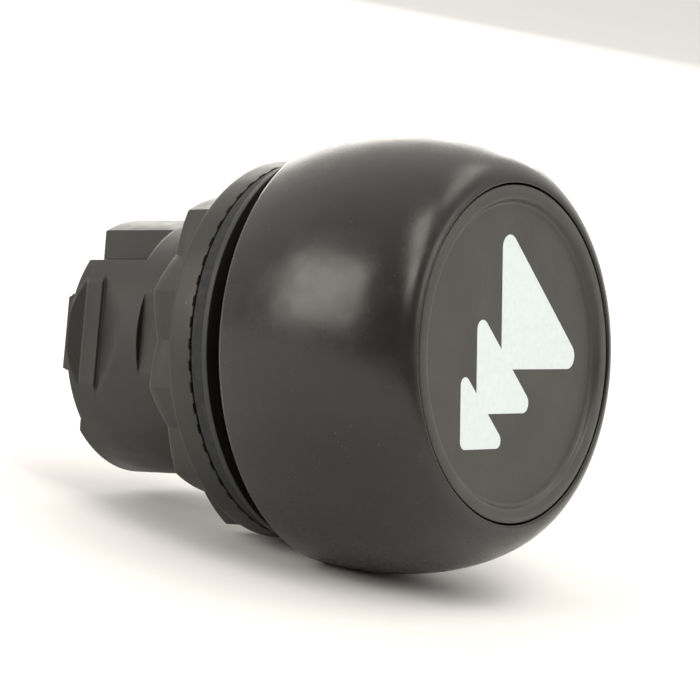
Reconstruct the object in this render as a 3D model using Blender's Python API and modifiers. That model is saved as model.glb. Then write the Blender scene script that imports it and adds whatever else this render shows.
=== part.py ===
"""Industrial push button for a 22 mm panel hole: a moulded bushing, a rounded outer shell, a dished
spring-return button with a direction sign, a panel gasket and a flanged ring nut.

The button's axis is Y and its face looks towards -Y. The panel's front surface is the plane y = 0,
and +Z is the top of the sign. Sizes are in millimetres here and are turned into metres by MM.
"""

import math

import bpy
import bmesh
from mathutils import Matrix, Vector

MM = 0.001
GAP = 0.3

# Driving dimensions, in millimetres.
BARREL_R = 10.1
BARREL_REAR_Y = 17.2
RIM_REAR_Y = 16.8
BARREL_BORE_R = 6.8
PARTITION_FRONT_Y = -1.7
PARTITION_REAR_Y = 2.6
BUSH_HOLE_R = 4.8
CHAMBER_R = 8.6
THREAD_R = 10.7
THREAD_REAR_Y = 3.9
KEY_TURN = math.radians(6.7)
FLANGE_R = 15.2
FLANGE_FRONT_Y = -1.9
FLANGE_REAR_Y = -1.1
GASKET_R = 14.6
GASKET_FRONT_Y = -0.8
NECK_R = 12.3
NECK_FRONT_Y = -7.9
TOWER_R = 10.2
TOWER_FRONT_Y = -10.4
SHELL_R = 16.95
SHELL_REAR_R = 16.5
SHELL_REAR_Y = -3.96
SHELL_WIDEST_Y = -9.0
SHELL_ROLL_Y = 1.0
SHELL_ROLL_R = 1.1
FRONT_Y = -19.5
CAP_BORE_R = 12.85
CAP_R = 12.55
CAP_REAR_Y = -17.3
DISH_DEPTH = 0.55
DISH_R = 11.0
SIGN_THICKNESS = 0.78
CARRIER_R = 12.6
CARRIER_REAR_Y = -13.0
NUT_FLANGE_R = 14.68
NUT_FLANGE_REAR_Y = 2.08
NUT_REAR_Y = 4.6
NUT_RIDGE_R = 14.3
NUT_VALLEY_R = 13.1
NUT_RIDGES = 12
NUT_PHASE = math.radians(12.0)
NUT_BARE_RIDGE = 3
WASHER_R = 13.9
WASHER_THICKNESS = 0.5
ROD_R = 3.0
ROD_FRONT_Y = -14.7
ROD_REAR_Y = 9.8
CLIP_FRONT_Y = 3.2
CLIP_THICKNESS = 0.7
SEAT_FRONT_Y = -2.6
FOOT_REAR_Y = 12.7
# Each triangle of the sign: the X and Z of its square corner, its legs and its corner radius.
SIGN_TRIANGLES = [(-1.3, -1.15, 11.5, 1.0), (-4.55, -4.45, 8.05, 0.75), (-6.62, -7.05, 6.2, 0.6)]

# Flats round a turned piece: fine ones on the large outer pieces, fewer on the small hidden ones.
FINE_STEPS = 56
TURN_STEPS = 40
SMALL_STEPS = 24


def new_collection(name):
    group = bpy.data.collections.new(name)
    bpy.context.scene.collection.children.link(group)
    return group


def clear_scene():
    for obj in list(bpy.data.objects):
        bpy.data.objects.remove(obj, do_unlink=True)


clear_scene()
PARTS = new_collection("push_button")
CUTTERS = new_collection("cutters")


def material(name, colour, roughness, metallic=0.0):
    mat = bpy.data.materials.new(name)
    mat.use_nodes = True
    shader = mat.node_tree.nodes["Principled BSDF"]
    shader.inputs["Base Color"].default_value = (*colour, 1.0)
    shader.inputs["Roughness"].default_value = roughness
    shader.inputs["Metallic"].default_value = metallic
    return mat


SHELL_BLACK = material("shell_black", (0.030, 0.028, 0.026), 0.38)
CAP_BLACK = material("cap_black", (0.032, 0.032, 0.033), 0.55)
BARREL_BLACK = material("barrel_black", (0.045, 0.040, 0.036), 0.50)
NUT_BLACK = material("nut_black", (0.038, 0.034, 0.031), 0.48)
SIGN_WHITE = material("sign_white", (0.80, 0.86, 0.88), 0.45)
RUBBER = material("rubber", (0.018, 0.022, 0.030), 0.75)
STEEL = material("steel", (0.62, 0.62, 0.60), 0.28, 1.0)
NATURAL_NYLON = material("natural_nylon", (0.72, 0.69, 0.60), 0.45)
ACTUATOR_RED = material("actuator_red", (0.42, 0.05, 0.04), 0.45)


def add_object(name, mesh, mat, group=PARTS):
    obj = bpy.data.objects.new(name, mesh)
    group.objects.link(obj)
    if mat:
        mesh.materials.append(mat)
    if group is CUTTERS:
        obj.hide_render = True
        obj.display_type = "WIRE"
    return obj


def profile_mesh(name, outline):
    """A closed outline of (y, radius) points as edges in the XY plane, radius along X."""
    mesh = bpy.data.meshes.new(name)
    points = [(radius * MM, y * MM, 0.0) for y, radius in outline]
    edges = [(i, (i + 1) % len(points)) for i in range(len(points))]
    mesh.from_pydata(points, edges, [])
    return mesh


def turned(name, outline, mat, group=PARTS, steps=TURN_STEPS):
    """A body turned about Y from a closed outline that runs down its outer side from +Y to -Y."""
    obj = add_object(name, profile_mesh(name, outline), mat, group)
    screw = obj.modifiers.new("Turn", "SCREW")
    screw.axis = "Y"
    screw.angle = 2 * math.pi
    screw.steps = steps
    screw.render_steps = steps
    screw.use_merge_vertices = True
    screw.merge_threshold = 1e-6
    screw.use_smooth_shade = True
    return obj


def ring(name, y_front, y_rear, r_in, r_out, mat, group=PARTS, steps=TURN_STEPS):
    """A plain ring between two stations on the axis."""
    outline = [(y_rear, r_in), (y_rear, r_out), (y_front, r_out), (y_front, r_in)]
    return turned(name, outline, mat, group, steps)


def rod_outline(stations):
    """A closed outline of a solid rod: the (y, radius) stations from +Y to -Y, closed on the axis."""
    return [(stations[0][0], 0.0)] + stations + [(stations[-1][0], 0.0)]


def box_cutter(name, x, y, z, turn=0.0):
    """A box with the given low and high X, Y and Z, turned about the Y axis."""
    mesh = bpy.data.meshes.new(name)
    bm = bmesh.new()
    bmesh.ops.create_cube(bm, size=1.0)
    size = [(high - low) * MM for low, high in (x, y, z)]
    middle = [(high + low) / 2 * MM for low, high in (x, y, z)]
    bmesh.ops.scale(bm, vec=size, verts=bm.verts)
    bmesh.ops.translate(bm, vec=middle, verts=bm.verts)
    bm.to_mesh(mesh)
    bm.free()
    obj = add_object(name, mesh, None, CUTTERS)
    obj.rotation_euler.y = turn
    return obj


def boolean(obj, cutter, operation="DIFFERENCE"):
    step = obj.modifiers.new(cutter.name, "BOOLEAN")
    step.operation = operation
    step.object = cutter


def sector_cutter(name, half_angle, r_in, r_out, y_front, y_rear, turn, steps=8):
    """A sector of a ring, centred on +Z and then turned about Y: used for slots in round walls."""
    angles = [half_angle * (2 * i / steps - 1) for i in range(steps + 1)]
    inner = [(r_in * math.sin(angle), r_in * math.cos(angle)) for angle in angles]
    outer = [(r_out * math.sin(angle), r_out * math.cos(angle)) for angle in reversed(angles)]
    obj = prism(name, inner + outer, y_front, y_rear, None, CUTTERS)
    obj.rotation_euler.y = turn
    return obj


def bushing_outline():
    """Section of the bushing: barrel, thread, flange, grooved neck and tower, then the stepped bore."""
    rear_chamfer = 0.4
    flange_bevel = 0.4
    groove_front_y, groove_rear_y = -7.5, -5.5
    groove_depth = 0.5
    neck_relief = 0.1
    seal_seat_y = -8.9
    seal_seat_r = TOWER_R + 0.7
    return [
        (BARREL_REAR_Y, BARREL_BORE_R),
        (BARREL_REAR_Y, BARREL_R - rear_chamfer),
        (BARREL_REAR_Y - rear_chamfer, BARREL_R),
        (THREAD_REAR_Y, BARREL_R),
        (THREAD_REAR_Y - rear_chamfer, THREAD_R),
        (FLANGE_REAR_Y, THREAD_R),
        (FLANGE_REAR_Y, FLANGE_R - flange_bevel),
        (FLANGE_REAR_Y - flange_bevel, FLANGE_R),
        (FLANGE_FRONT_Y, FLANGE_R),
        (FLANGE_FRONT_Y, NECK_R - neck_relief),
        (groove_rear_y, NECK_R - neck_relief),
        (groove_rear_y, NECK_R - groove_depth),
        (groove_front_y, NECK_R - groove_depth),
        (groove_front_y, NECK_R),
        (NECK_FRONT_Y, NECK_R),
        (NECK_FRONT_Y, seal_seat_r),
        (seal_seat_y, seal_seat_r),
        (seal_seat_y, TOWER_R),
        (TOWER_FRONT_Y, TOWER_R),
        (TOWER_FRONT_Y, CHAMBER_R),
        (PARTITION_FRONT_Y, CHAMBER_R),
        (PARTITION_FRONT_Y, BUSH_HOLE_R),
        (PARTITION_REAR_Y, BUSH_HOLE_R),
        (PARTITION_REAR_Y, BARREL_BORE_R),
    ]


def side_cutter(name, outline, half_width, turn):
    """A prism across the barrel's side from (y, distance) points, turned about Y to that side."""
    mesh = bpy.data.meshes.new(name)
    bm = bmesh.new()
    face = bm.faces.new([bm.verts.new((-half_width * MM, y * MM, d * MM)) for y, d in outline])
    grown = bmesh.ops.extrude_face_region(bm, geom=[face])
    moved = [item for item in grown["geom"] if isinstance(item, bmesh.types.BMVert)]
    bmesh.ops.translate(bm, vec=(2 * half_width * MM, 0, 0), verts=moved)
    bmesh.ops.recalc_face_normals(bm, faces=bm.faces)
    bm.to_mesh(mesh)
    bm.free()
    obj = add_object(name, mesh, None, CUTTERS)
    obj.rotation_euler.y = turn
    return obj


def mounting_bushing():
    """Barrel with flange, neck and front tower, and the key, slots, flats and ramps of its rear."""
    bushing = turned("mounting_bushing", bushing_outline(), BARREL_BLACK, steps=FINE_STEPS)
    beyond_r = 12.0
    beyond_y = BARREL_REAR_Y + 1.0
    # The key stands between two slots at the top of the barrel.
    slot_half = math.radians(11.7)
    slot_centre = math.radians(42.1)
    slot_floor_r = 8.25
    slot_front_y = 10.3
    for side, turn in (("left", -slot_centre), ("right", slot_centre)):
        slot = sector_cutter(
            f"slot_{side}", slot_half, slot_floor_r, beyond_r, slot_front_y, beyond_y, KEY_TURN + turn
        )
        boolean(bushing, slot)
    # Each side has a flat that ends in a shoulder, then a sunk ramp, a pad and a lead-in to the rim.
    half_width = 6.0
    flat_d, flat_front_y, flat_rear_y = 9.57, FLANGE_REAR_Y + GAP, 8.95
    ramp_front_y, ramp_rear_y, ramp_floor_d = 10.9, 13.55, 8.95
    pad_rear_y, pad_d = 15.2, 9.2
    flank_rear_y = 16.1
    tab_rear_y = 17.0
    flat = [(flat_front_y, flat_d), (flat_rear_y, flat_d), (flat_rear_y, beyond_r), (flat_front_y, beyond_r)]
    ramp = [
        (ramp_front_y, BARREL_R),
        (ramp_rear_y, ramp_floor_d),
        (ramp_rear_y + 0.1, pad_d),
        (pad_rear_y, pad_d),
        (flank_rear_y, BARREL_R),
        (flank_rear_y, pad_d),
        (beyond_y, pad_d),
        (beyond_y, beyond_r),
        (ramp_front_y, beyond_r),
    ]
    # The rim is cut back there, and least along the tab in the middle of the side.
    rim_half = math.radians(41.2)
    tab_half = math.radians(17.2)
    flank_half = (rim_half - tab_half) / 2
    flank_centre = (rim_half + tab_half) / 2
    inside_r = 4.0
    for side, turn in (("left", -math.pi / 2), ("right", math.pi / 2)):
        turn += KEY_TURN
        boolean(bushing, side_cutter(f"flat_{side}", flat, half_width, turn))
        boolean(bushing, side_cutter(f"ramp_{side}", ramp, half_width, turn))
        boolean(
            bushing,
            sector_cutter(f"rim_{side}", rim_half, inside_r, beyond_r, tab_rear_y, beyond_y, turn, 12),
        )
        for flank, offset in (("upper", -flank_centre), ("lower", flank_centre)):
            cutter = sector_cutter(
                f"rim_{side}_{flank}", flank_half, inside_r, beyond_r, flank_rear_y, beyond_y, turn + offset
            )
            boolean(bushing, cutter)
    # Below the sides the rim is a little shorter than the key.
    bottom = sector_cutter(
        "rim_bottom", math.pi / 2 - rim_half, inside_r, beyond_r, RIM_REAR_Y, beyond_y, KEY_TURN + math.pi, 12
    )
    boolean(bushing, bottom)
    return bushing


def shell_outline():
    """The shell's section: a barrel that swells to its widest ring, then rolls over to the cap bore."""
    steps = 4
    rear_reach = SHELL_WIDEST_Y - SHELL_REAR_Y
    outer = []
    for i in range(steps):
        t = i / steps
        swell = SHELL_R - (SHELL_R - SHELL_REAR_R) * (1 - t) ** 2
        outer.append((SHELL_REAR_Y + rear_reach * t, swell))
    steps = 10
    for i in range(steps + 1):
        angle = math.pi / 2 * i / steps
        y = SHELL_WIDEST_Y + (FRONT_Y - SHELL_WIDEST_Y) * math.sin(angle) ** SHELL_ROLL_Y
        radius = CAP_BORE_R + (SHELL_R - CAP_BORE_R) * math.cos(angle) ** SHELL_ROLL_R
        outer.append((y, radius))
    inner = [
        (-9.5, CAP_BORE_R),
        (-9.5, CAP_BORE_R + 0.9),
        (-15.6, CAP_BORE_R + 0.9),
        (-14.0, 14.7),
        (SHELL_WIDEST_Y, SHELL_R - 1.7),
        (-5.2, SHELL_REAR_R - 1.6),
        (-5.2, 13.1),
        (SHELL_REAR_Y, 13.1),
    ]
    return outer + inner


def head_shell():
    return turned("head_shell", shell_outline(), SHELL_BLACK, steps=FINE_STEPS)


def head_lock_ring():
    """Split spring ring in the neck's groove, which holds the shell's rear lip."""
    clip = ring("head_lock_ring", -7.2, -5.8, 12.1, 14.3, STEEL)
    boolean(clip, box_cutter("lock_ring_split", (-1.5, 1.5), (-8.0, -5.0), (-16.0, -10.0)))
    return clip


def o_ring(name, y, ring_r, tube_r, mat, sides=8):
    """A moulded ring of round section, turned about the Y axis."""
    section = []
    for i in range(sides):
        angle = math.pi / 2 - 2 * math.pi * i / sides
        section.append((y + tube_r * math.sin(angle), ring_r + tube_r * math.cos(angle)))
    return turned(name, section, mat)


def button_cap():
    """The dished button: a raised rim, a steep step down and a flat middle with the sign's pocket."""
    outline = [
        (CAP_REAR_Y, 0.0),
        (CAP_REAR_Y, CAP_R - 0.2),
        (CAP_REAR_Y - 0.2, CAP_R),
        (FRONT_Y + 0.16, CAP_R),
        (FRONT_Y + 0.06, CAP_R - 0.1),
        (FRONT_Y, CAP_R - 0.5),
        (FRONT_Y + 0.12, DISH_R + 0.7),
        (FRONT_Y + 0.45, DISH_R + 0.2),
        (FRONT_Y + DISH_DEPTH, DISH_R),
        (FRONT_Y + DISH_DEPTH, 0.0),
    ]
    cap = turned("button_cap", outline, CAP_BLACK, steps=FINE_STEPS)
    sign_rear_y = FRONT_Y + DISH_DEPTH + SIGN_THICKNESS
    pocket = sign_solid("sign_pocket", None, CUTTERS, FRONT_Y, sign_rear_y + GAP, GAP)
    boolean(cap, pocket)
    return cap


def rounded(corners, radius, steps=4):
    """An outline with each corner replaced by an arc that is tangent to its two sides."""
    outline = []
    for i, corner in enumerate(corners):
        here = Vector(corner)
        back = (Vector(corners[i - 1]) - here).normalized()
        ahead = (Vector(corners[(i + 1) % len(corners)]) - here).normalized()
        half = back.angle(ahead) / 2
        centre = here + (back + ahead).normalized() * radius / math.sin(half)
        start = here + back * radius / math.tan(half) - centre
        sweep = math.pi - 2 * half
        for k in range(steps + 1):
            turned_by = Matrix.Rotation(sweep * k / steps, 2)
            outline.append(tuple(centre + turned_by @ start))
    return outline


def prism(name, outline, y_front, y_rear, mat, group):
    """A flat outline of (x, z) points made solid between two stations on the axis."""
    mesh = bpy.data.meshes.new(name)
    bm = bmesh.new()
    face = bm.faces.new([bm.verts.new((x * MM, y_front * MM, z * MM)) for x, z in outline])
    grown = bmesh.ops.extrude_face_region(bm, geom=[face])
    moved = [item for item in grown["geom"] if isinstance(item, bmesh.types.BMVert)]
    bmesh.ops.translate(bm, vec=(0, (y_rear - y_front) * MM, 0), verts=moved)
    bmesh.ops.recalc_face_normals(bm, faces=bm.faces)
    bm.to_mesh(mesh)
    bm.free()
    return add_object(name, mesh, mat, group)


def sign_solid(name, mat, group, y_front, y_rear, grow=0.0):
    """The sign as one plate: three right-angled triangles that overlap along a diagonal."""
    made = None
    for index, (x, z, leg, radius) in enumerate(SIGN_TRIANGLES):
        low_x, low_z, reach = x - grow, z - grow, leg + 3.4 * grow
        corners = [(low_x, low_z), (low_x + reach, low_z), (low_x, low_z + reach)]
        outline = rounded(corners, radius + grow)
        if made is None:
            made = prism(name, outline, y_front, y_rear, mat, group)
        else:
            part = prism(f"{name}_{index}", outline, y_front, y_rear, None, CUTTERS)
            boolean(made, part, "UNION")
    return made


def direction_symbol():
    """White plate let into the dish, its front flush with it."""
    front_y = FRONT_Y + DISH_DEPTH
    return sign_solid("direction_symbol", SIGN_WHITE, PARTS, front_y, front_y + SIGN_THICKNESS)


def cap_carrier():
    """Cup behind the cap: its skirt slides in the shell's bore and its hub holds the plunger."""
    front_y = CAP_REAR_Y + GAP
    web_rear_y = front_y + 1.4
    socket_floor_y = ROD_FRONT_Y - GAP
    hub_r = 7.0
    skirt_bore_r = 11.45
    outline = [
        (socket_floor_y, 0.0),
        (socket_floor_y, ROD_R + GAP),
        (CARRIER_REAR_Y, ROD_R + GAP),
        (CARRIER_REAR_Y, hub_r),
        (web_rear_y, hub_r),
        (web_rear_y, skirt_bore_r),
        (CARRIER_REAR_Y, skirt_bore_r),
        (CARRIER_REAR_Y, CARRIER_R),
        (front_y, CARRIER_R),
        (front_y, 0.0),
    ]
    return turned("cap_carrier", outline, CAP_BLACK)


def plunger():
    """Rod from the carrier through the guide bush to the actuator foot, grooved for its clip."""
    chamfer = 0.3
    groove_depth = 0.8
    groove_front_y = CLIP_FRONT_Y - GAP
    groove_rear_y = CLIP_FRONT_Y + CLIP_THICKNESS + GAP
    stations = [
        (ROD_REAR_Y, ROD_R - chamfer),
        (ROD_REAR_Y - chamfer, ROD_R),
        (groove_rear_y, ROD_R),
        (groove_rear_y, ROD_R - groove_depth),
        (groove_front_y, ROD_R - groove_depth),
        (groove_front_y, ROD_R),
        (ROD_FRONT_Y + chamfer, ROD_R),
        (ROD_FRONT_Y, ROD_R - chamfer),
    ]
    return turned("plunger", rod_outline(stations), NATURAL_NYLON, steps=SMALL_STEPS)


def actuator_foot():
    """Notched foot that meets the contact blocks, with a socket for the rod and its screw."""
    sleeve_front_y = ROD_REAR_Y - 1.5
    socket_floor_y = ROD_REAR_Y + GAP
    flange_front_y = FOOT_REAR_Y - 1.2
    sleeve_r, flange_r, screw_hole_r, screw_seat_r = 4.6, 6.2, 1.3, 2.6
    edge = 0.2
    outline = [
        (FOOT_REAR_Y, screw_hole_r),
        (FOOT_REAR_Y, flange_r - edge),
        (FOOT_REAR_Y - edge, flange_r),
        (flange_front_y, flange_r),
        (flange_front_y, sleeve_r),
        (sleeve_front_y, sleeve_r),
        (sleeve_front_y, ROD_R + GAP),
        (socket_floor_y, ROD_R + GAP),
        (socket_floor_y, screw_hole_r),
    ]
    foot = turned("actuator_foot", outline, ACTUATOR_RED, steps=SMALL_STEPS)
    beyond_y = FOOT_REAR_Y + 1.0
    seat = ring(
        "screw_head_seat", FOOT_REAR_Y - 1.1, beyond_y, screw_hole_r - 0.4, screw_seat_r,
        None, CUTTERS, SMALL_STEPS,
    )
    boolean(foot, seat)
    notches = 4
    for index in range(notches):
        turn = (index + 0.5) * 2 * math.pi / notches
        cutter = box_cutter(
            f"foot_notch_{index}", (-1.2, 1.2), (flange_front_y - 0.5, beyond_y), (5.0, 8.0), turn
        )
        boolean(foot, cutter)
    return foot


def foot_screw():
    """Pan-head screw that fastens the foot to the rod, with a straight slot."""
    head_rear_y = FOOT_REAR_Y - 0.2
    head_front_y = head_rear_y - 0.6
    head_r, shank_r, edge = 2.3, 1.0, 0.4
    slot_half, slot_depth = 0.3, 0.4
    stations = [
        (head_rear_y, head_r - edge),
        (head_rear_y - edge / 2, head_r),
        (head_front_y, head_r),
        (head_front_y, shank_r),
        (ROD_REAR_Y + GAP, shank_r),
    ]
    screw = turned("foot_screw", rod_outline(stations), STEEL, steps=SMALL_STEPS)
    slot = box_cutter(
        "screw_slot", (-3.0, 3.0), (head_rear_y - slot_depth, head_rear_y + 0.5), (-slot_half, slot_half)
    )
    boolean(screw, slot)
    return screw


def plunger_circlip():
    """Spring clip in the rod's groove: it meets the guide bush and keeps the rod in."""
    clip = ring(
        "plunger_circlip", CLIP_FRONT_Y, CLIP_FRONT_Y + CLIP_THICKNESS, ROD_R - 0.5, 4.6,
        STEEL, steps=SMALL_STEPS,
    )
    boolean(clip, box_cutter("circlip_split", (-1.0, 1.0), (2.0, 5.0), (-6.0, -1.0)))
    return clip


def return_spring():
    """Compression spring between the seat washer and the carrier's hub."""
    wire = 0.45
    coil_r = 6.1
    front = CARRIER_REAR_Y + GAP + wire
    rear = SEAT_FRONT_Y - GAP - wire
    turns = 5
    steps_per_turn = 12
    count = turns * steps_per_turn
    curve = bpy.data.curves.new("return_spring", "CURVE")
    curve.dimensions = "3D"
    curve.bevel_depth = wire * MM
    curve.bevel_resolution = 2
    curve.use_fill_caps = True
    spline = curve.splines.new("POLY")
    spline.points.add(count)
    for i in range(count + 1):
        angle = 2 * math.pi * i / steps_per_turn
        y = rear + (front - rear) * i / count
        spline.points[i].co = (
            coil_r * math.cos(angle) * MM,
            y * MM,
            coil_r * math.sin(angle) * MM,
            1.0,
        )
    obj = bpy.data.objects.new("return_spring", curve)
    PARTS.objects.link(obj)
    curve.materials.append(STEEL)
    return obj


def guide_bush():
    """Collared liner that the rod slides in."""
    collar_front_y, collar_rear_y = -2.9, PARTITION_FRONT_Y - GAP
    liner_r = BUSH_HOLE_R - GAP
    collar_r = liner_r + 0.2
    outline = [
        (PARTITION_REAR_Y, ROD_R + GAP),
        (PARTITION_REAR_Y, liner_r),
        (collar_rear_y, liner_r),
        (collar_rear_y, collar_r),
        (collar_front_y, collar_r),
        (collar_front_y, ROD_R + GAP),
    ]
    return turned("guide_bush", outline, NATURAL_NYLON, steps=SMALL_STEPS)


def mounting_nut():
    """Ring nut: a flange, V-shaped valleys between ridges, one of them left off, and a short collar."""
    bore_r = THREAD_R + GAP
    collar_bore_r = BARREL_R + GAP
    collar_front_y = THREAD_REAR_Y + GAP
    core_r = NUT_VALLEY_R - 0.2
    washer_seat_r = WASHER_R + GAP
    washer_seat_y = GAP + WASHER_THICKNESS + GAP
    outline = [
        (NUT_REAR_Y, collar_bore_r),
        (NUT_REAR_Y, core_r),
        (NUT_FLANGE_REAR_Y, core_r),
        (NUT_FLANGE_REAR_Y, NUT_FLANGE_R),
        (GAP, NUT_FLANGE_R),
        (GAP, washer_seat_r),
        (washer_seat_y, washer_seat_r),
        (washer_seat_y, bore_r),
        (collar_front_y, bore_r),
        (collar_front_y, collar_bore_r),
    ]
    nut = turned("mounting_nut", outline, NUT_BLACK, steps=FINE_STEPS)
    rim = []
    for i in range(2 * NUT_RIDGES):
        stands_out = i % 2 == 0 and i != 2 * NUT_BARE_RIDGE
        radius = NUT_RIDGE_R if stands_out else NUT_VALLEY_R
        angle = NUT_PHASE + math.pi * i / NUT_RIDGES
        rim.append((radius * math.cos(angle), radius * math.sin(angle)))
    star = prism("nut_star", rim, NUT_FLANGE_REAR_Y - 0.5, NUT_REAR_Y - 0.25, None, CUTTERS)
    inside_r = core_r - 0.9
    core = turned("nut_star_core", rod_outline([(8.0, inside_r), (-2.0, inside_r)]), None, CUTTERS)
    boolean(star, core)
    boolean(nut, star, "UNION")
    return nut


def lock_washer():
    """Thin steel washer under the nut, keyed to the barrel's flats by two inner tongues."""
    faces = (GAP, GAP + WASHER_THICKNESS)
    washer = ring("lock_washer", *faces, THREAD_R + GAP, WASHER_R, STEEL)
    for side, turn in (("left", -math.pi / 2), ("right", math.pi / 2)):
        tongue = box_cutter(f"tongue_{side}", (-2.5, 2.5), faces, (9.95, 12.0), KEY_TURN + turn)
        boolean(washer, tongue, "UNION")
    return washer


mounting_bushing()
head_shell()
head_lock_ring()
o_ring("shell_seal_ring", -3.1, 13.0, 0.5, RUBBER)
button_cap()
direction_symbol()
cap_carrier()
plunger()
actuator_foot()
foot_screw()
plunger_circlip()
return_spring()
ring("spring_seat_washer", SEAT_FRONT_Y, PARTITION_FRONT_Y - GAP, 5.0, 7.6, STEEL, steps=SMALL_STEPS)
guide_bush()
ring("lip_seal", -10.1, -9.2, TOWER_R + 0.25, 11.1, RUBBER)
ring("seal_retainer", -11.3, -10.7, 8.9, 10.9, NATURAL_NYLON)
ring("stop_buffer", -8.8, -8.2, 11.3, 12.2, RUBBER)
ring("panel_gasket", GASKET_FRONT_Y, 0.0, THREAD_R + GAP, GASKET_R, RUBBER)
mounting_nut()
lock_washer()
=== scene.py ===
"""Looks of an industrial push button for a 22 mm panel hole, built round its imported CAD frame.

The button's axis is Y. Its face looks towards -Y, and the panel's front surface is the plane y = 0.
Lengths are in millimetres and are turned into metres by MM when a mesh is made.
"""

import math

import bmesh
import bpy
import numpy as np
from mathutils import Matrix, Vector


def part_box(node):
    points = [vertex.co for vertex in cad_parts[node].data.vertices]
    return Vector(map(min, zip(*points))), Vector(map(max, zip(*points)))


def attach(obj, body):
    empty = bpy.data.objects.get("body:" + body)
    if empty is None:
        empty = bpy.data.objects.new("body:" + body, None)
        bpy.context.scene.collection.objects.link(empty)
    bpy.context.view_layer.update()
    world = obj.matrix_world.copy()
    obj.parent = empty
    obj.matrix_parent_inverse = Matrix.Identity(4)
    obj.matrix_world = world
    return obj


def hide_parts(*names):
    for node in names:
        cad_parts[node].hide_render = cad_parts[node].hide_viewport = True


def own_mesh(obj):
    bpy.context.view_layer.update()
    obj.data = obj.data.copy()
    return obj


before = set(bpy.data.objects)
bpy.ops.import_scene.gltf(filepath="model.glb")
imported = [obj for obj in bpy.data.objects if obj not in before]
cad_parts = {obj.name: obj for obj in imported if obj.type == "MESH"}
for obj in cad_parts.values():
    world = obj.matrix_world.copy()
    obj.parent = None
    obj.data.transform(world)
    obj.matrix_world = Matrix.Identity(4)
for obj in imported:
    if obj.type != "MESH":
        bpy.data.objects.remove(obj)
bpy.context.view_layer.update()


# ---------------------------------------------------------------------------------------------
# Camera: a long lens, level with the button's axis, that looks at the face from the left, so that
# the side of the shell, the nut and the barrel show behind it.
# ---------------------------------------------------------------------------------------------
MM = 0.001
CAMERA_PLACE = (-227.76, -169.48, 2.78)
CAMERA_FORWARD = (0.80909, 0.58760, -0.00970)
CAMERA_RIGHT = (0.58769, -0.80897, 0.01399)
CAMERA_LENS = 187.55

camera_data = bpy.data.cameras.new("camera")
camera_data.sensor_width = 36.0
camera_data.lens = CAMERA_LENS
camera_data.clip_start = 0.01
camera_data.clip_end = 20.0
camera = bpy.data.objects.new("camera", camera_data)
bpy.context.scene.collection.objects.link(camera)
bpy.context.scene.camera = camera
back = -Vector(CAMERA_FORWARD).normalized()
right = Vector(CAMERA_RIGHT).normalized()
above = back.cross(right)
turn = Matrix((right, above, back)).transposed().to_4x4()
camera.matrix_world = Matrix.Translation(Vector(CAMERA_PLACE) * MM) @ turn

# ---------------------------------------------------------------------------------------------
# Studio: the head lies on a pale floor, on its shell and on the nut, so the floor rises a little
# towards the rear. Five soft lights stand round it: the left one makes the broad patch on the
# shell's side, the front one the streak on its roll, and the back one its bright edges.
# ---------------------------------------------------------------------------------------------
FLOOR_TILT = math.radians(12.7)
FLOOR_HALF = 3.0
FLOOR_DROP = 14.93
FLOOR_COLOUR = (0.80, 0.798, 0.79, 1.0)
LAMP_COLOUR = (1.0, 0.962, 0.895)
ROOM_COLOUR = (1.0, 0.97, 0.92, 1.0)
ROOM_DIM, ROOM_BRIGHT = 0.33, 1.25


def build_floor():
    """A flat square, turned about X by the tilt and moved down along its own normal by the drop."""
    normal = Vector((0.0, -math.sin(FLOOR_TILT), math.cos(FLOOR_TILT)))
    along = Vector((0.0, math.cos(FLOOR_TILT), math.sin(FLOOR_TILT)))
    side = Vector((1.0, 0.0, 0.0))
    middle = -normal * FLOOR_DROP * MM
    corners = [middle + side * u * FLOOR_HALF + along * v * FLOOR_HALF
               for u, v in ((-1, -1), (1, -1), (1, 1), (-1, 1))]
    mesh = bpy.data.meshes.new("floor")
    mesh.from_pydata([tuple(c) for c in corners], [], [(0, 1, 2, 3)])
    floor = bpy.data.objects.new("floor", mesh)
    bpy.context.scene.collection.objects.link(floor)
    paper = bpy.data.materials.new("floor_paper")
    paper.use_nodes = True
    shader = paper.node_tree.nodes["Principled BSDF"]
    shader.inputs["Base Color"].default_value = FLOOR_COLOUR
    shader.inputs["Roughness"].default_value = 0.9
    shader.inputs["Specular IOR Level"].default_value = 0.1
    mesh.materials.append(paper)


build_floor()


def soft_light(name, azimuth, elevation, distance, size, power):
    """A rectangular area light that faces the head from a direction given in degrees.

    The azimuth runs from the face's side, -Y, towards +X. Distance and size are in metres.
    """
    az, el = math.radians(azimuth), math.radians(elevation)
    direction = Vector((math.sin(az) * math.cos(el), -math.cos(az) * math.cos(el), math.sin(el)))
    data = bpy.data.lights.new(name, "AREA")
    data.shape = "RECTANGLE"
    data.size, data.size_y = size
    data.energy = power
    data.color = LAMP_COLOUR
    lamp = bpy.data.objects.new(name, data)
    bpy.context.scene.collection.objects.link(lamp)
    lamp.location = direction * distance
    lamp.rotation_euler = direction.to_track_quat("Z", "Y").to_euler()


soft_light("left_light", -106, 29, 0.8, (0.54, 0.44), 3.6)
soft_light("front_light", -22, 44, 0.8, (0.24, 0.62), 2.4)
soft_light("low_light", 28, 14, 0.9, (0.40, 0.30), 0.8)
soft_light("over_light", 50, 58, 0.8, (0.50, 0.20), 0.8)
soft_light("back_light", 128, 27, 0.9, (0.70, 0.34), 3.4)

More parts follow.
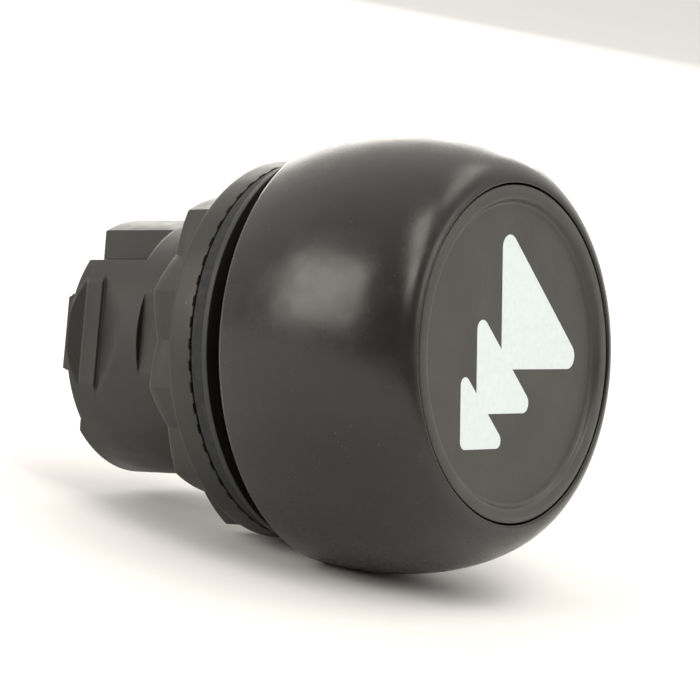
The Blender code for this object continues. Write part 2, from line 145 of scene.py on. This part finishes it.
# The room is bright above and behind the head, and dimmer in front of it.
BRIGHT_SIDE = Vector((0.62, 0.45, 0.64))
world = bpy.data.worlds.new("studio")
world.use_nodes = True
sky = world.node_tree
direction = sky.nodes.new("ShaderNodeTexCoord")
facing = sky.nodes.new("ShaderNodeVectorMath")
facing.operation = "DOT_PRODUCT"
facing.inputs[1].default_value = BRIGHT_SIDE
level = sky.nodes.new("ShaderNodeMapRange")
level.inputs["From Min"].default_value = -0.45
level.inputs["From Max"].default_value = 0.8
level.inputs["To Min"].default_value = ROOM_DIM
level.inputs["To Max"].default_value = ROOM_BRIGHT
sky.links.new(direction.outputs["Generated"], facing.inputs[0])
sky.links.new(facing.outputs["Value"], level.inputs["Value"])
sky.nodes["Background"].inputs["Color"].default_value = ROOM_COLOUR
sky.links.new(level.outputs["Result"], sky.nodes["Background"].inputs["Strength"])
bpy.context.scene.world = world
bpy.context.scene.view_settings.view_transform = "Standard"

# ---------------------------------------------------------------------------------------------
# Mounting bushing: one moulding in glass-filled charcoal nylon. Its flange holds the gasket, its
# thread takes the nut, and the barrel behind carries the key, two slots, and on each side a flat,
# a sunk ramp, a pad and a lead-in for the contact block's latch.
# ---------------------------------------------------------------------------------------------


def rounded_outline(corners, steps=5):
    """A polygon of (y, r, radius) corners, each replaced by an arc tangent to its two sides.

    A short straight piece is kept beside each arc, so that the flats stay flat when shaded smooth.
    """
    outline = []
    count = len(corners)
    for i, (y, r, radius) in enumerate(corners):
        here = np.array([y, r], float)
        if radius <= 0.0:
            outline.append(here)
            continue
        to_back = np.array(corners[i - 1][:2], float) - here
        to_ahead = np.array(corners[(i + 1) % count][:2], float) - here
        back_unit = to_back / np.linalg.norm(to_back)
        ahead_unit = to_ahead / np.linalg.norm(to_ahead)
        half = math.acos(np.clip(back_unit @ ahead_unit, -1, 1)) / 2
        reach = radius / math.tan(half)
        bisector = (back_unit + ahead_unit) / np.linalg.norm(back_unit + ahead_unit)
        centre = here + bisector * radius / math.sin(half)
        start = here + back_unit * reach - centre
        turn_sign = np.sign(back_unit[0] * ahead_unit[1] - back_unit[1] * ahead_unit[0])
        angles = -turn_sign * (math.pi - 2 * half) * np.linspace(0, 1, steps + 1)
        arc = np.stack([start[0] * np.cos(angles) - start[1] * np.sin(angles),
                        start[0] * np.sin(angles) + start[1] * np.cos(angles)], 1) + centre
        outline.append(arc[0] + back_unit * min(0.08, 0.2 * reach + 0.02))
        outline.extend(arc)
        outline.append(arc[-1] + ahead_unit * min(0.08, 0.2 * reach + 0.02))
    return np.array(outline)


def polar(radius, station, angle):
    """Points at a radius and a station on the Y axis: x = -r sin(a), z = r cos(a)."""
    return np.stack(np.broadcast_arrays(-radius * np.sin(angle), station, radius * np.cos(angle)), -1)


def grid_object(name, rings, closed_section):
    """A mesh from an array of rings (section, around, xyz) in millimetres, joined into quads.

    Each ring closes on itself. The section closes too, or its first and last rings are poles.
    """
    section, around = rings.shape[:2]
    points = rings.reshape(-1, 3)
    index = np.arange(section * around).reshape(section, around)
    if closed_section:
        low, high = index, np.roll(index, -1, axis=0)
    else:
        low, high = index[:-1], index[1:]
    quads = np.stack([low, np.roll(low, -1, 1), np.roll(high, -1, 1), high], -1).reshape(-1, 4)
    edge_a = points[quads[:, 1]] - points[quads[:, 0]]
    edge_b = points[quads[:, 3]] - points[quads[:, 0]]
    normals = np.cross(edge_a, edge_b)
    if (normals * points[quads[:, 0]]).sum() < 0:
        quads = quads[:, ::-1]
    mesh = bpy.data.meshes.new(name)
    mesh.from_pydata((points * MM).tolist(), [], quads.tolist())
    obj = bpy.data.objects.new(name, mesh)
    bpy.context.scene.collection.objects.link(obj)
    if not closed_section:
        weld_poles(mesh)
    mesh.shade_smooth()
    return obj


def weld_poles(mesh):
    """Merges the points that fall together in a pole."""
    bm = bmesh.new()
    bm.from_mesh(mesh)
    bmesh.ops.remove_doubles(bm, verts=bm.verts, dist=1e-7)
    bm.to_mesh(mesh)
    bm.free()


def turned_object(name, outline, around=256, closed_section=True):
    """A section of (y, r) points turned about Y: each point becomes a ring of the given count."""
    outline = np.asarray(outline, float)[:, :2]
    angle = np.linspace(0, 2 * math.pi, around, endpoint=False)
    return grid_object(name, polar(outline[:, 1:], outline[:, :1], angle), closed_section)


class Shading:
    """A small builder for a procedural material on Object coordinates, in millimetres."""

    def __init__(self, name, colour, roughness, metallic=0.0, specular=0.5):
        self.material = bpy.data.materials.new(name)
        self.material.use_nodes = True
        self.tree = self.material.node_tree
        self.shader = self.tree.nodes["Principled BSDF"]
        self.shader.inputs["Base Color"].default_value = (*colour, 1.0)
        self.shader.inputs["Roughness"].default_value = roughness
        self.shader.inputs["Metallic"].default_value = metallic
        self.shader.inputs["Specular IOR Level"].default_value = specular
        self.colour = colour
        coords = self.tree.nodes.new("ShaderNodeTexCoord")
        mapping = self.tree.nodes.new("ShaderNodeMapping")
        mapping.inputs["Scale"].default_value = (1000.0, 1000.0, 1000.0)
        self.tree.links.new(coords.outputs["Object"], mapping.inputs["Vector"])
        self.coords = mapping.outputs["Vector"]

    def noise(self, scale, detail=2.0, roughness=0.5):
        """Fractal noise from 0 to 1, with so many cells a millimetre."""
        node = self.tree.nodes.new("ShaderNodeTexNoise")
        node.inputs["Scale"].default_value = scale
        node.inputs["Detail"].default_value = detail
        node.inputs["Roughness"].default_value = roughness
        self.tree.links.new(self.coords, node.inputs["Vector"])
        return node.outputs["Fac"]

    def spots(self, scale, size):
        """Small scattered spots: 1 inside a spot's radius and 0 outside."""
        node = self.tree.nodes.new("ShaderNodeTexVoronoi")
        node.inputs["Scale"].default_value = scale
        self.tree.links.new(self.coords, node.inputs["Vector"])
        return self.ramp(node.outputs["Distance"], size, size * 0.4)

    def ramp(self, value, low, high, out_low=0.0, out_high=1.0):
        """A straight line from one range to another, held at both ends."""
        node = self.tree.nodes.new("ShaderNodeMapRange")
        node.inputs["From Min"].default_value = low
        node.inputs["From Max"].default_value = high
        node.inputs["To Min"].default_value = out_low
        node.inputs["To Max"].default_value = out_high
        self.tree.links.new(value, node.inputs["Value"])
        return node.outputs["Result"]

    def times(self, first, second):
        """The product of two values."""
        node = self.tree.nodes.new("ShaderNodeMath")
        node.operation = "MULTIPLY"
        self.tree.links.new(first, node.inputs[0])
        self.tree.links.new(second, node.inputs[1])
        return node.outputs["Value"]

    def tint(self, amount, colour):
        """Mixes another colour over the base colour where the amount is high."""
        node = self.tree.nodes.new("ShaderNodeMix")
        node.data_type = "RGBA"
        socket = self.shader.inputs["Base Color"]
        if socket.is_linked:
            self.tree.links.new(socket.links[0].from_socket, node.inputs[6])
        else:
            node.inputs[6].default_value = (*self.colour, 1.0)
        node.inputs[7].default_value = (*colour, 1.0)
        self.tree.links.new(amount, node.inputs[0])
        self.tree.links.new(node.outputs[2], socket)

    def rough(self, value, low, high):
        """Roughness that follows a value between two limits."""
        self.tree.links.new(self.ramp(value, 0.3, 0.7, low, high), self.shader.inputs["Roughness"])

    def bump(self, value, distance):
        """Relief of the given height in millimetres, added to any that is there."""
        node = self.tree.nodes.new("ShaderNodeBump")
        node.inputs["Strength"].default_value = 1.0
        node.inputs["Distance"].default_value = distance * MM
        socket = self.shader.inputs["Normal"]
        if socket.is_linked:
            self.tree.links.new(socket.links[0].from_socket, node.inputs["Normal"])
        self.tree.links.new(value, node.inputs["Height"])
        self.tree.links.new(node.outputs["Normal"], socket)


DUST_COLOUR = (0.25, 0.24, 0.21)


def moulded_plastic(name, colour, roughness, grain=9.0, depth=0.006, dust=0.5, light=None):
    """Moulded plastic: a faint cloudy tone, a fine grain and a little dust in patches."""
    make = Shading(name, colour, roughness)
    lighter = light or tuple(1.45 * c for c in colour)
    make.tint(make.ramp(make.noise(0.22, 4.0), 0.35, 0.75), lighter)
    make.rough(make.noise(0.5, 3.0), roughness - 0.05, roughness + 0.06)
    make.bump(make.noise(grain, 2.0, 0.6), depth)
    patches = make.ramp(make.noise(0.6, 1.0), 0.52, 0.62, 0.0, dust)
    make.tint(make.times(make.spots(1.6, 0.11), patches), DUST_COLOUR)
    return make.material


def fit_piece(piece, body, slot, material, *replaced):
    """Gives a piece its material, puts it on its body and hides the CAD nodes it stands for."""
    piece.data.materials.clear()
    piece.data.materials.append(material)
    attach(piece, body)
    for node in replaced:
        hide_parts(node)
    return piece


BARREL_R = 10.1
BORE_R = 6.8
THREAD_ROOT_R = 10.15
THREAD_CREST_R = 10.68
THREAD_PITCH = 1.5
THREAD_FRONT_Y = -0.9
THREAD_REAR_Y = 3.85
KEY_REAR_Y = 17.2
RIM_REAR_Y = 16.8
FLANK_REAR_Y = 16.1
TAB_REAR_Y = 17.0
TAB_D = 9.25
KEY_HALF_WIDTH = 5.16
KEY_TURN = math.radians(-6.7)
SIDE_ANGLE = math.pi / 2
RAMP_FRONT_Y = 10.9
RAMP_REAR_Y = 13.55
RAMP_DEEP_D = 8.95
PAD_FRONT_Y = 13.63
PAD_FRONT_D = 9.22
PAD_REAR_Y = 15.2
PAD_REAR_D = 9.2
LEAST_COSINE = 0.75
SLOT_FAR = math.radians(53.9)
SLOT_FRONT_Y = 10.3
SLOT_FLOOR_R = 8.25
FLAT_END_Y = 8.95
FLAT_D = 9.57
RIM_HALF = math.radians(41.2)
RIM_STEP = math.radians(7.0)
TAB_HALF = math.radians(17.2)
EDGE = 0.10
RIM_FILLET = 0.28
BORE_FILLET = 0.15


def smooth_step(value, edge, width):
    """0 below the edge and 1 above it, with a rounded rise of the given width."""
    t = np.clip((value - edge) / width + 0.5, 0, 1)
    return t * t * (3 - 2 * t)


def clustered(low, high, count, marks, width):
    """Evenly spaced values, with extra ones close to each mark so that a step there is crisp."""
    even = np.linspace(low, high, count)
    near = np.concatenate([mark + width * np.linspace(-0.75, 0.75, 9) for mark in marks])
    return np.unique(np.concatenate([even, near[(near > low) & (near < high)]]).round(6))


def around_barrel():
    """Angles round the barrel, from the key's centre, crowded at each edge of a feature."""
    key_edges = [math.asin(KEY_HALF_WIDTH / BARREL_R), math.asin(KEY_HALF_WIDTH / SLOT_FLOOR_R)]
    marks = key_edges + [SLOT_FAR, SIDE_ANGLE - TAB_HALF, SIDE_ANGLE + TAB_HALF, SIDE_ANGLE + RIM_HALF]
    marks = sorted([-mark for mark in marks] + marks)
    return clustered(-math.pi, math.pi, 241, marks, EDGE / BARREL_R)[:-1]


def side_depth(y):
    """Distance of the side's cut plane from the axis: flat, full round, ramp, pad and full rim."""
    stations = [FLAT_END_Y - EDGE / 2, FLAT_END_Y + EDGE / 2, RAMP_FRONT_Y, RAMP_REAR_Y, PAD_FRONT_Y,
                PAD_REAR_Y, FLANK_REAR_Y]
    clear = BARREL_R + 0.02
    return np.interp(y, stations, [FLAT_D, clear, clear, RAMP_DEEP_D, PAD_FRONT_D, PAD_REAR_D, clear])


def barrel_radius(angle, y):
    """Outer radius of the barrel at an angle from the key and a station.

    It is the smallest of the barrel, the side's cut plane d / cos(angle from the side), and the
    slots, whose near walls are parallel to the key: r = half width / sin(angle).
    """
    from_side = np.abs(np.abs(angle) - SIDE_ANGLE)
    plane = side_depth(y) / np.maximum(np.cos(from_side), LEAST_COSINE)
    radius = np.minimum(BARREL_R, plane)
    in_tab = 1 - smooth_step(from_side, TAB_HALF, EDGE / BARREL_R)
    in_tab = in_tab * smooth_step(y, FLANK_REAR_Y, 0.12)
    tab = np.minimum(TAB_D / np.maximum(np.cos(from_side), LEAST_COSINE), BARREL_R)
    radius = radius + (tab - radius) * in_tab
    near_wall = KEY_HALF_WIDTH / np.maximum(np.abs(np.sin(angle)), 0.1)
    slot = np.clip(near_wall, SLOT_FLOOR_R, radius)
    inside = 1 - smooth_step(np.abs(angle), SLOT_FAR, EDGE / BARREL_R)
    inside = inside * smooth_step(y, SLOT_FRONT_Y, 0.25)
    return radius + (slot - radius) * inside


def rim_station(angle):
    """Rear end of the barrel at an angle: the key is longest, the flanks of each side shortest."""
    turn = np.abs(angle)
    from_side = np.abs(turn - SIDE_ANGLE)
    slope = np.clip((turn - SIDE_ANGLE - RIM_HALF) / RIM_STEP, 0, 1)
    beyond_key = smooth_step(turn, SLOT_FAR, EDGE / BARREL_R)
    below = FLANK_REAR_Y + (RIM_REAR_Y - FLANK_REAR_Y) * slope
    tab = 1 - smooth_step(from_side, TAB_HALF, EDGE / BARREL_R)
    side = below + (TAB_REAR_Y - below) * tab
    return KEY_REAR_Y + (side - KEY_REAR_Y) * beyond_key


def thread_radius(angle, y):
    """Root plus a V-shaped ridge that climbs one pitch a turn and fades out at both ends."""
    turn = (y / THREAD_PITCH - angle / (2 * math.pi)) % 1.0
    fade = smooth_step(y, THREAD_FRONT_Y + 0.3, 0.5) * (1 - smooth_step(y, THREAD_REAR_Y - 0.3, 0.5))
    return THREAD_ROOT_R + (THREAD_CREST_R - THREAD_ROOT_R) * fade * (1 - np.abs(1 - 2 * turn))


def mounting_bushing():
    """Rings of points, front to rear: radius and station are functions of the angle from the key.

    The bore, tower, neck and flange are round. Then come the thread, the barrel and its rear rim,
    whose stations stretch to the rim's own end, a quarter-circle fillet, and the bore again.
    """
    angle = around_barrel()
    front = rounded_outline([
        (2.6, BORE_R, 0.3), (2.6, 4.8, 0.1), (-1.7, 4.8, 0.1), (-1.7, 8.6, 0.2), (-10.4, 8.6, 0.1),
        (-10.4, 10.2, 0.15), (-8.9, 10.2, 0.0), (-8.9, 10.9, 0.1), (-7.9, 10.9, 0.0), (-7.9, 12.3, 0.1),
        (-7.5, 12.3, 0.0), (-7.5, 11.8, 0.0), (-5.5, 11.8, 0.0), (-5.5, 12.2, 0.0), (-1.95, 12.2, 0.15),
        (-1.95, 15.2, 0.10), (-1.52, 15.2, 0.10), (-1.1, 14.75, 0.08), (-1.1, THREAD_ROOT_R, 0.1),
        (THREAD_FRONT_Y, THREAD_ROOT_R, 0.0)])
    thread_y = np.linspace(THREAD_FRONT_Y, THREAD_REAR_Y, 40)[1:, None]
    outer_y = clustered(3.95, PAD_REAR_Y, 46, (FLAT_END_Y, SLOT_FRONT_Y, 13.59), 0.16)[:, None]
    end = rim_station(angle)
    to_rim = np.linspace(0.03, 1, 22)[:, None]
    rim_y = outer_y[-1] + (end - RIM_FILLET - outer_y[-1]) * to_rim
    last = barrel_radius(angle, rim_y[-1])
    bend = np.linspace(0.3, math.pi / 2, 5)[:, None]
    across = np.linspace(0.03, 0.97, 3)[:, None]
    bore_y = np.array([15.0, 9.0, 3.2])[:, None]
    whole = np.ones_like(angle)
    stations = np.concatenate([
        front[:, :1] * whole, thread_y * whole, outer_y * whole, rim_y, end - RIM_FILLET * (1 - np.sin(bend)),
        end * np.ones_like(across), end - BORE_FILLET * (1 - np.cos(bend)), bore_y * whole])
    radii = np.concatenate([
        front[:, 1:] * whole, thread_radius(angle, thread_y), barrel_radius(angle, outer_y),
        barrel_radius(angle, rim_y),
        last - RIM_FILLET * (1 - np.cos(bend)),
        (last - RIM_FILLET) * (1 - across) + (BORE_R + BORE_FILLET) * across,
        (BORE_R + BORE_FILLET * (1 - np.sin(bend))) * whole, BORE_R * whole * np.ones_like(bore_y)])
    return grid_object("bushing_moulding", polar(radii, stations, angle + KEY_TURN), True)


BARREL_PLASTIC = moulded_plastic("barrel_plastic", (0.012, 0.0112, 0.0092), 0.46, grain=6.0, depth=0.010,
                                 dust=0.25)
fit_piece(mounting_bushing(), "housing", "barrel_plastic", BARREL_PLASTIC, "mounting_bushing")

# ---------------------------------------------------------------------------------------------
# Head shell: a satin moulding, swollen like a barrel and rolled over at the front to the bore in
# which the button slides. A clip ring inside holds it on the bushing's neck.
# ---------------------------------------------------------------------------------------------
SHELL_R = 16.95
SHELL_REAR_R = 16.5
SHELL_REAR_Y = -3.96
SHELL_WIDEST_Y = -9.0
SHELL_ROLL = 1.1
FRONT_Y = -19.5
CAP_BORE_R = 12.8


def shell_section():
    """Outer curve: a parabola to the widest ring, then a quarter of a soft ellipse to the bore."""
    t = np.linspace(0, 1, 24, endpoint=False)
    rear = np.stack([SHELL_REAR_Y + (SHELL_WIDEST_Y - SHELL_REAR_Y) * t,
                     SHELL_R - (SHELL_R - SHELL_REAR_R) * (1 - t) ** 2], 1)
    angle = np.linspace(0, math.pi / 2, 64)
    roll = np.stack([SHELL_WIDEST_Y + (FRONT_Y - SHELL_WIDEST_Y) * np.sin(angle),
                     CAP_BORE_R + 0.12 + (SHELL_R - CAP_BORE_R - 0.12) * np.cos(angle) ** SHELL_ROLL], 1)
    lip = np.array([[FRONT_Y + 0.02, CAP_BORE_R + 0.05], [FRONT_Y + 0.10, CAP_BORE_R]])
    inner = rounded_outline([
        (FRONT_Y + 1.0, CAP_BORE_R, 0.0), (-9.5, CAP_BORE_R, 0.1), (-9.5, CAP_BORE_R + 0.9, 0.1),
        (-15.6, CAP_BORE_R + 0.9, 0.4), (-14.0, 14.7, 0.4), (SHELL_WIDEST_Y, SHELL_R - 1.7, 0.8),
        (-5.2, SHELL_REAR_R - 1.6, 0.3), (-5.2, 13.1, 0.1), (SHELL_REAR_Y, 13.1, 0.1),
        (SHELL_REAR_Y, SHELL_REAR_R - 0.3, 0.0)])
    return np.concatenate([rear[1:], roll, lip, inner])


SHELL_PLASTIC = moulded_plastic("shell_plastic", (0.0080, 0.0073, 0.0058), 0.26, grain=12.0, depth=0.002,
                                dust=0.2)
shell = turned_object("rounded_shell", shell_section(), 384)
fit_piece(shell, "housing", "shell_plastic", SHELL_PLASTIC, "head_shell")

# ---------------------------------------------------------------------------------------------
# Panel gasket: a flat ring of blue-black rubber, stamped from sheet, that the flange presses on the
# panel to keep water out.
# ---------------------------------------------------------------------------------------------


def rubber_finish():
    """Blue-black rubber with a coarse matt skin."""
    make = Shading("seal_rubber", (0.010, 0.011, 0.013), 0.72, specular=0.4)
    make.tint(make.ramp(make.noise(1.5, 4.0), 0.4, 0.7), (0.022, 0.023, 0.024))
    make.bump(make.noise(5.0, 3.0, 0.7), 0.05)
    return make.material


RUBBER = rubber_finish()
GASKET_R = 14.6
GASKET_BORE_R = 11.0
GASKET_FRONT_Y = -1.07
gasket_section = rounded_outline([(0.0, GASKET_BORE_R, 0.1), (0.0, GASKET_R, 0.12),
                                  (GASKET_FRONT_Y, GASKET_R, 0.12), (GASKET_FRONT_Y, GASKET_BORE_R, 0.1)])
fit_piece(turned_object("gasket_ring", gasket_section), "housing", "seal_rubber", RUBBER, "panel_gasket")

# ---------------------------------------------------------------------------------------------
# Mounting nut: glass-filled nylon, with a flange that is toothed in front, ridges with V-shaped
# valleys for a ring spanner at twelve places, one of them left bare, and a short collar at the rear.
# ---------------------------------------------------------------------------------------------
NUT_RIDGES = 12
NUT_PHASE = math.radians(12.0)
NUT_VALLEY_R = 13.15
NUT_RIDGE_HEIGHT = 1.15
NUT_TEETH = 56
TOOTH_Y = 0.22
TOOTH_DEPTH = 0.13


def nut_wave(angle):
    """0 in a valley and 1 on a ridge, straight between them, with the first ridge left off."""
    turn = ((angle - NUT_PHASE) * NUT_RIDGES / (2 * math.pi) + 0.5) % NUT_RIDGES
    bare = turn < 1.0
    return np.where(bare, 0.0, 1 - np.abs(1 - 2 * (turn % 1.0)))


def mounting_nut():
    """Rings of (station, radius) along the nut's section, from the thread round the rear to the front.

    The rear rings follow the ridge wave, and the front rings dip by a clipped sine for the teeth.
    """
    angle = np.linspace(0, 2 * math.pi, NUT_TEETH * 24, endpoint=False)
    tooth = 0.5 + 0.5 * np.clip(6 * np.sin(NUT_TEETH * angle), -1, 1)
    wave = nut_wave(angle)
    ridge = NUT_VALLEY_R + NUT_RIDGE_HEIGHT * wave
    tooth_y = TOOTH_Y - TOOTH_DEPTH * tooth
    rings = [
        (4.2, 11.0), (4.2, 10.5), (4.3, 10.4), (4.5, 10.4), (4.6, 10.5),
        (4.6, 0.5 * (ridge + 10.5)), (4.6, ridge - 0.35), (4.55, ridge - 0.16), (4.42, ridge - 0.04),
        (4.3, ridge), (3.6, ridge), (2.5, ridge + 0.02), (2.22, ridge + 0.06), (2.12, ridge + 0.14),
        (2.08, np.minimum(ridge + 0.3, 14.5)), (2.08, 14.56), (2.05, 14.65), (1.98, 14.68),
        (1.8, 14.68), (0.6, 14.64), (0.42, 14.62), (tooth_y + 0.04, 14.60), (tooth_y, 14.5),
        (tooth_y, 14.25), (0.30, 14.2), (1.1, 14.2), (1.1, 11.0),
    ]
    y, r = (np.stack([np.broadcast_to(ring[k], angle.shape) for ring in rings]) for k in (0, 1))
    nut = grid_object("ring_nut", polar(r, y, angle), True)
    nut.data.set_sharp_from_angle(angle=math.radians(32))
    return nut


NUT_PLASTIC = moulded_plastic("nut_plastic", (0.015, 0.0135, 0.0112), 0.45, grain=7.0, depth=0.008, dust=0.35)
fit_piece(mounting_nut(), "nut", "nut_plastic", NUT_PLASTIC, "mounting_nut")

# ---------------------------------------------------------------------------------------------
# Button cap: a finely grained moulding. A steep step leads down from its rounded rim to the flat
# middle, and a clip inside holds it on the carrier.
# ---------------------------------------------------------------------------------------------
CAP_R = 12.67
CAP_REAR_Y = -17.3
CAP_EDGE = 0.13
DISH_Y = FRONT_Y + 0.55
DISH_R = 11.15
CREST_R = 12.1


def cap_section():
    """Half section from the front middle to the rear middle.

    The flat middle rises along a steep S to a rounded crest: the radius grows evenly while the
    height follows a logistic curve. From there the rim falls as a parabola to a small round edge.
    """
    t = np.linspace(0, 1, 28)
    flat = np.stack([np.full(8, DISH_Y), np.linspace(0, DISH_R - 0.1, 8)], 1)
    climb = 1 / (1 + np.exp(-11 * (t - 0.36)))
    climb = (climb - climb[0]) / (climb[-1] - climb[0])
    rise = np.stack([DISH_Y + (FRONT_Y - DISH_Y) * climb, DISH_R + (CREST_R - DISH_R) * t], 1)
    fall_r = CREST_R + (CAP_R - CAP_EDGE - CREST_R) * t[1:]
    fall = np.stack([FRONT_Y + 0.05 * t[1:] ** 2, fall_r], 1)
    edge = rounded_outline([(FRONT_Y + 0.05, CAP_R - CAP_EDGE, 0.0), (FRONT_Y + 0.07, CAP_R, CAP_EDGE),
                            (CAP_REAR_Y, CAP_R, 0.2), (CAP_REAR_Y, 12.0, 0.0)])
    rear = np.array([[CAP_REAR_Y, 11.0], [CAP_REAR_Y, 0.0]])
    return np.concatenate([flat, rise, fall, edge, rear])


CAP_PLASTIC = moulded_plastic("cap_plastic", (0.034, 0.032, 0.0288), 0.36, grain=9.0, depth=0.018, dust=0.25)
cap = turned_object("dished_button", cap_section(), 384, closed_section=False)
fit_piece(cap, "button", "cap_plastic", CAP_PLASTIC, "button_cap")

# ---------------------------------------------------------------------------------------------
# Direction symbol: a cool white plastic insert, pressed into a pocket in the cap. It is a plain
# direction sign: three right-angled triangles with rounded tips, joined along a diagonal.
# ---------------------------------------------------------------------------------------------
SIGN_PROUD = 0.015
SIGN_DEPTH = 0.4
SIGN_TRIANGLES = [(-1.3, -1.15, 11.5, 1.0), (-4.55, -4.45, 8.05, 0.75), (-6.62, -7.05, 6.2, 0.6)]


def sign_corners():
    """The joined outline as (x, z, radius): down the right-hand tips, round the last, and back up."""
    right_side, top_side = [], []
    last = len(SIGN_TRIANGLES) - 1
    for i, (x, z, leg, radius) in enumerate(SIGN_TRIANGLES):
        right_side.append((x + leg, z, radius))
        top_side.append((x, z + leg, radius))
        if i < last:
            reach = sum(SIGN_TRIANGLES[i + 1][:3])
            right_side.append((reach - z, z, 0.0))
            top_side.append((x, reach - x, 0.0))
    x, z, leg, radius = SIGN_TRIANGLES[-1]
    return right_side + [(x, z, radius)] + top_side[::-1]


def direction_symbol():
    """The outline at two stations, just above the dish and inside the cap, joined by straight sides."""
    outline = rounded_outline(sign_corners(), 8)
    count = len(outline)
    stations = np.repeat([DISH_Y - SIGN_PROUD, DISH_Y + SIGN_DEPTH], count)
    x, z = np.tile(outline, (2, 1)).T
    here = np.arange(count)
    ahead = np.roll(here, -1)
    sides = np.stack([here, ahead, count + ahead, count + here], 1).tolist()
    mesh = bpy.data.meshes.new("sign_plate")
    mesh.from_pydata((np.stack([x, stations, z], 1) * MM).tolist(), [],
                     sides + [here[::-1].tolist(), (count + here).tolist()])
    obj = bpy.data.objects.new("sign_plate", mesh)
    bpy.context.scene.collection.objects.link(obj)
    return obj


def sign_finish():
    """Cool white plastic with a faint grain and mottled tone."""
    make = Shading("sign_white", (0.72, 0.79, 0.805), 0.42)
    make.tint(make.ramp(make.noise(2.4, 5.0, 0.7), 0.4, 0.7), (0.665, 0.735, 0.75))
    make.bump(make.noise(9.0, 3.0), 0.008)
    return make.material


fit_piece(direction_symbol(), "button", "sign_white", sign_finish(), "direction_symbol")

# ---------------------------------------------------------------------------------------------
# Inner parts: steel rings and screw, rubber seals, nylon liner and rod, and the red foot that
# presses the contact block. They are seen only from behind and in the groove, and keep their CAD
# shapes with a finish of their own.
# ---------------------------------------------------------------------------------------------


def metal_finish(name, colour, roughness):
    """Drawn or plated steel with fine scratches."""
    make = Shading(name, colour, roughness, metallic=1.0)
    make.rough(make.noise(3.0, 4.0), roughness - 0.08, roughness + 0.10)
    make.bump(make.noise(12.0, 2.0), 0.003)
    return make.material


STEEL = metal_finish("spring_steel", (0.62, 0.62, 0.60), 0.30)
ZINC = metal_finish("zinc_steel", (0.55, 0.56, 0.57), 0.36)
NYLON = moulded_plastic("natural_nylon", (0.70, 0.66, 0.56), 0.45, light=(0.76, 0.73, 0.64), dust=0.2)
RED = moulded_plastic("actuator_plastic", (0.40, 0.045, 0.035), 0.42, light=(0.48, 0.07, 0.05), dust=0.3)
INNER_FINISHES = {
    "head_lock_ring": STEEL, "shell_seal_ring": RUBBER, "cap_carrier": CAP_PLASTIC, "plunger": NYLON,
    "actuator_foot": RED, "foot_screw": ZINC, "plunger_circlip": STEEL,
    "spring_seat_washer": ZINC, "guide_bush": NYLON, "lip_seal": RUBBER, "seal_retainer": NYLON,
    "stop_buffer": RUBBER, "lock_washer": ZINC,
}
for name, inner_finish in INNER_FINISHES.items():
    inner_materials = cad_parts[name].data.materials
    inner_materials.clear()
    inner_materials.append(inner_finish)

# ---------------------------------------------------------------------------------------------
# Return spring: five coils of round steel wire, wound close at both ends, which stands on its seat
# washer and pushes the cap's carrier forward. It shortens as the button goes in.
# ---------------------------------------------------------------------------------------------
SPRING_WIRE_R = 0.45
SPRING_COIL_R = 6.1
SPRING_TURNS = 6
spring_front, spring_rear = sorted(corner[1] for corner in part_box("return_spring"))


def spring_coils():
    """A circle carried along a helix and shrunk to a point at both ends.

    The station is the running sum of a pitch that rises from small to full over one turn and falls
    again over the last.
    """
    low, high = spring_front / MM, spring_rear / MM
    turn = np.linspace(0, SPRING_TURNS, SPRING_TURNS * 48 + 1)
    pitch = 0.12 + np.clip(turn - 0.5, 0, 1) * np.clip(SPRING_TURNS - 0.5 - turn, 0, 1)
    climb = np.concatenate([[0], np.cumsum(0.5 * (pitch[1:] + pitch[:-1]))])
    station = high - SPRING_WIRE_R - (high - low - 2 * SPRING_WIRE_R) * climb / climb[-1]
    around = np.linspace(0, 2 * math.pi, 12, endpoint=False)
    wire = np.full((len(turn), 1), SPRING_WIRE_R)
    wire[[0, -1]] = 0
    radius = SPRING_COIL_R + wire * np.cos(around)
    along = station[:, None] + wire * np.sin(around)
    return polar(radius, along, (2 * math.pi * turn)[:, None] + np.zeros(12))


spring = grid_object("coil_spring", spring_coils(), False)
fit_piece(spring, "housing", "spring_steel", STEEL, "return_spring")
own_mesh(spring)
